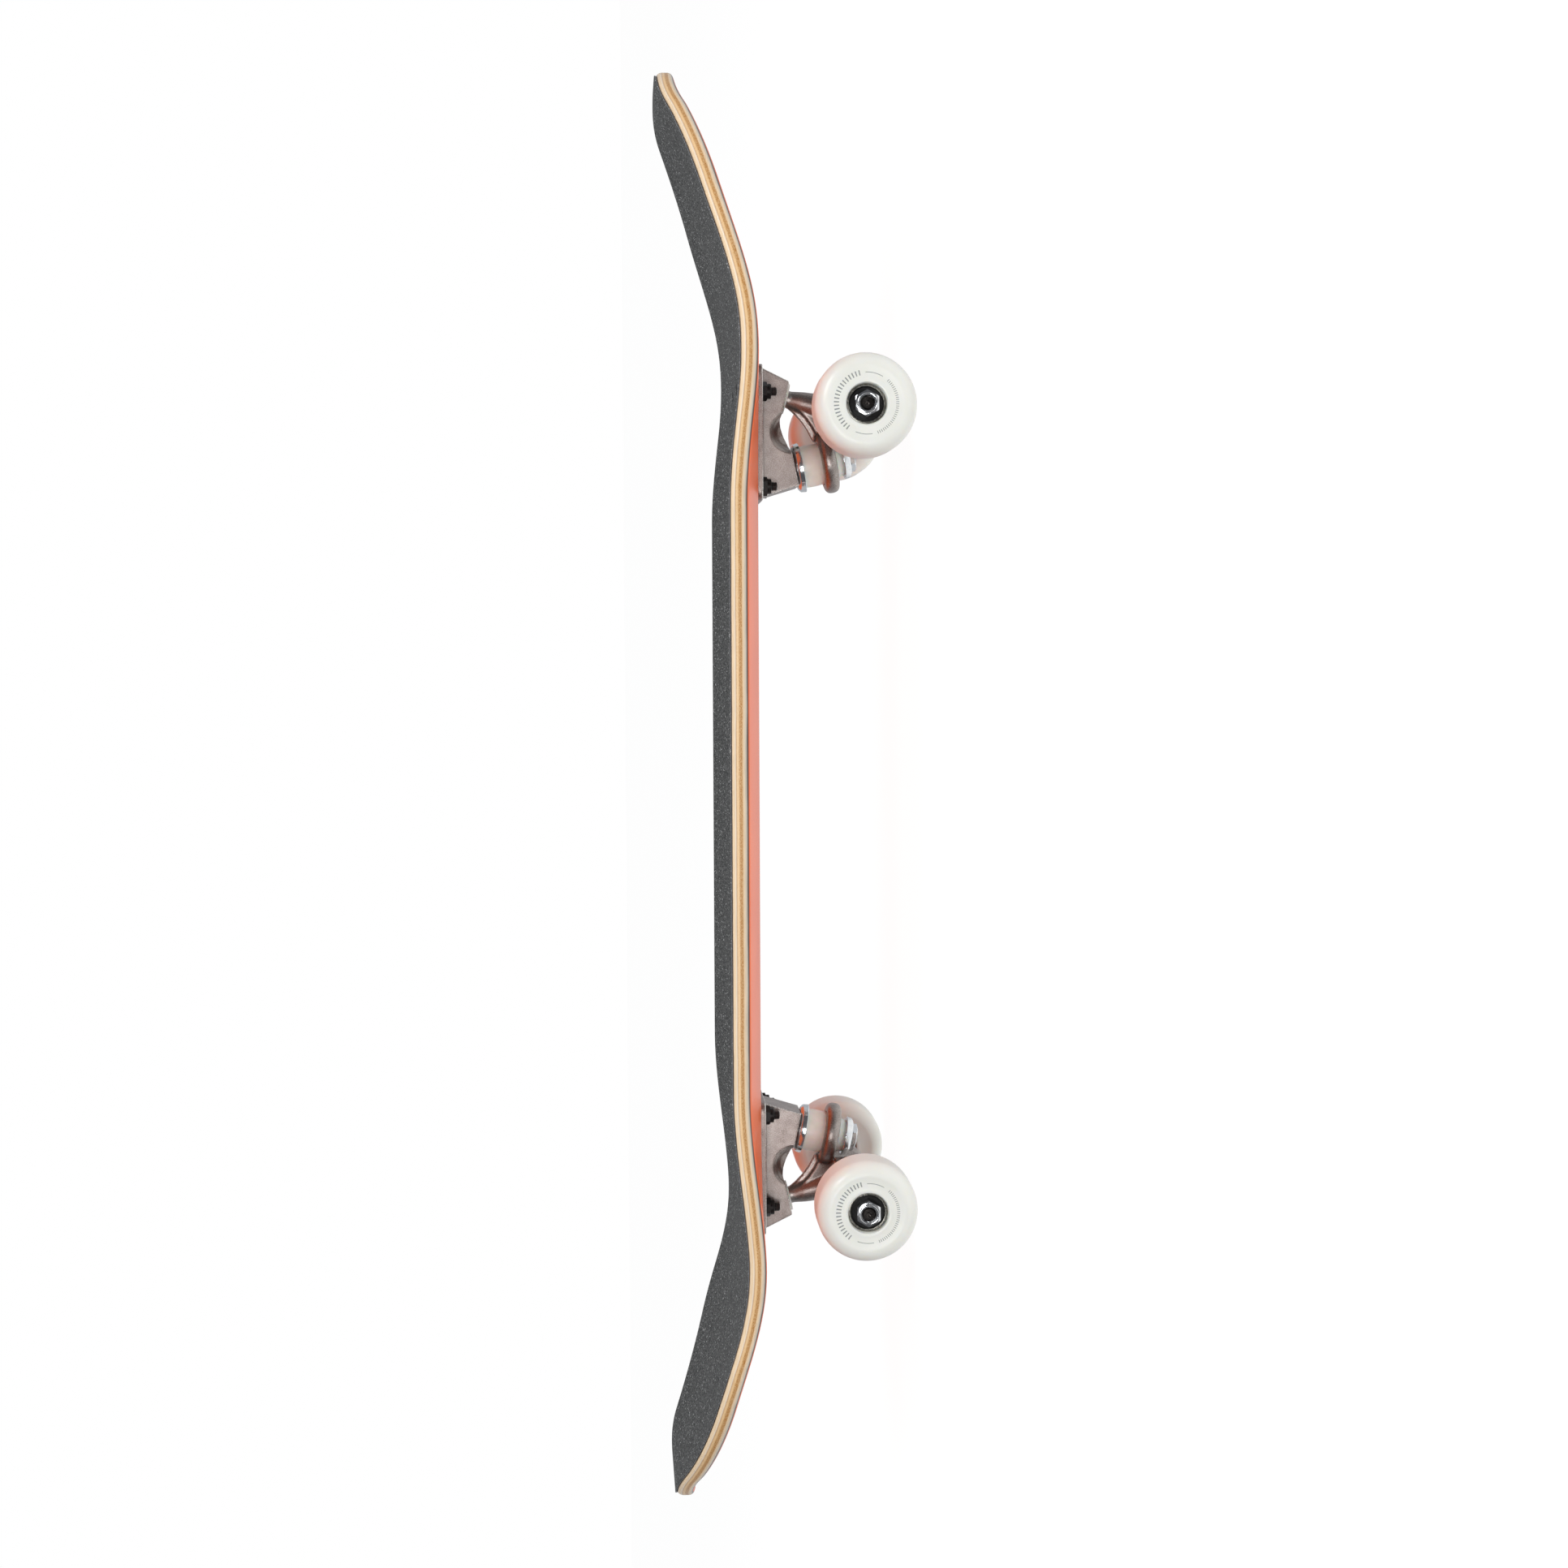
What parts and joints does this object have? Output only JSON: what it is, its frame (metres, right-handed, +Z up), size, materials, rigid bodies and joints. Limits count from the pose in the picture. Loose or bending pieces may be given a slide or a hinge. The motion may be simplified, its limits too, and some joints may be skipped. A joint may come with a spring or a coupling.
{
  "type": "skateboard",
  "caption": "Street skateboard with a dished maple deck kicked up at nose and tail, grip tape, cast trucks that steer on kingpin bushings, and urethane wheels on ball bearings.",
  "frame": {"origin": "on the floor, under the middle of the deck's bounding box", "axes": "+X points to the nose, +Y to the rider's left, +Z up from the floor"},
  "size_m": [0.8246, 0.216, 0.14],
  "materials": {
    "maple": "clear-sealed ply edges, coral stained underside",
    "grip": "coarse silicon carbide grit",
    "cast_aluminium": "raw tumbled casting",
    "urethane_cup": "satin",
    "bushing": "satin, slightly translucent",
    "zinc": "bright plated",
    "black_steel": "black oxide",
    "steel": "turned",
    "bearing": "ground race with black shields",
    "wheel": "satin cast urethane"
  },
  "bodies": {
    "root": {"deck": "maple", "grip_tape": "grip", "front_outer_left_bolt": "black_steel", "front_outer_left_nut": "black_steel", "front_outer_right_bolt": "black_steel", "front_outer_right_nut": "black_steel", "front_inner_left_bolt": "black_steel", "front_inner_left_nut": "black_steel", "front_inner_right_bolt": "black_steel", "front_inner_right_nut": "black_steel", "rear_outer_left_bolt": "black_steel", "rear_outer_left_nut": "black_steel", "rear_outer_right_bolt": "black_steel", "rear_outer_right_nut": "black_steel", "rear_inner_left_bolt": "black_steel", "rear_inner_left_nut": "black_steel", "rear_inner_right_bolt": "black_steel", "rear_inner_right_nut": "black_steel", "front_baseplate": "cast_aluminium", "front_pivot_cup": "urethane_cup", "front_kingpin": "black_steel", "front_kingpin_nut": "zinc", "front_bushing_boardside": "bushing", "front_washer_boardside": "zinc", "front_bushing_roadside": "bushing", "front_washer_roadside": "zinc", "rear_baseplate": "cast_aluminium", "rear_pivot_cup": "urethane_cup", "rear_kingpin": "black_steel", "rear_kingpin_nut": "zinc", "rear_bushing_boardside": "bushing", "rear_washer_boardside": "zinc", "rear_bushing_roadside": "bushing", "rear_washer_roadside": "zinc"},
    "front_hanger_body": {"front_hanger": "cast_aluminium", "front_axle": "steel", "front_left_spacer_sleeve": "steel", "front_left_axle_nut": "zinc", "front_right_spacer_sleeve": "steel", "front_right_axle_nut": "zinc"},
    "rear_hanger_body": {"rear_hanger": "cast_aluminium", "rear_axle": "steel", "rear_left_spacer_sleeve": "steel", "rear_left_axle_nut": "zinc", "rear_right_spacer_sleeve": "steel", "rear_right_axle_nut": "zinc"},
    "front_left_wheel_body": {"front_left_wheel": "wheel", "front_left_bearing_outboard": "bearing", "front_left_bearing_inboard": "bearing"},
    "front_right_wheel_body": {"front_right_wheel": "wheel", "front_right_bearing_outboard": "bearing", "front_right_bearing_inboard": "bearing"},
    "rear_left_wheel_body": {"rear_left_wheel": "wheel", "rear_left_bearing_outboard": "bearing", "rear_left_bearing_inboard": "bearing"},
    "rear_right_wheel_body": {"rear_right_wheel": "wheel", "rear_right_bearing_outboard": "bearing", "rear_right_bearing_inboard": "bearing"}
  },
  "joints": [
    {"name": "front_steer", "type": "hinge", "parent": "root", "child": "front_hanger_body", "pos_m": [0.2309, 0, 0.0692], "axis": [-0.795, 0, -0.6066], "range_deg": [-15, 15], "stiffness_Nm_per_rad": 50, "deforming": ["front_bushing_boardside", "front_bushing_roadside"]},
    {"name": "front_left_spin", "type": "hinge", "parent": "front_hanger_body", "child": "front_left_wheel_body", "pos_m": [0.2171, 0.0875, 0.028], "axis": [0, 1, 0], "continuous": true},
    {"name": "front_right_spin", "type": "hinge", "parent": "front_hanger_body", "child": "front_right_wheel_body", "pos_m": [0.2171, -0.0875, 0.028], "axis": [0, 1, 0], "continuous": true},
    {"name": "rear_steer", "type": "hinge", "parent": "root", "child": "rear_hanger_body", "pos_m": [-0.2383, 0, 0.0692], "axis": [0.795, 0, -0.6066], "range_deg": [-15, 15], "stiffness_Nm_per_rad": 50, "deforming": ["rear_bushing_boardside", "rear_bushing_roadside"]},
    {"name": "rear_left_spin", "type": "hinge", "parent": "rear_hanger_body", "child": "rear_left_wheel_body", "pos_m": [-0.2245, 0.0875, 0.028], "axis": [0, 1, 0], "continuous": true},
    {"name": "rear_right_spin", "type": "hinge", "parent": "rear_hanger_body", "child": "rear_right_wheel_body", "pos_m": [-0.2245, -0.0875, 0.028], "axis": [0, 1, 0], "continuous": true}
  ]
}
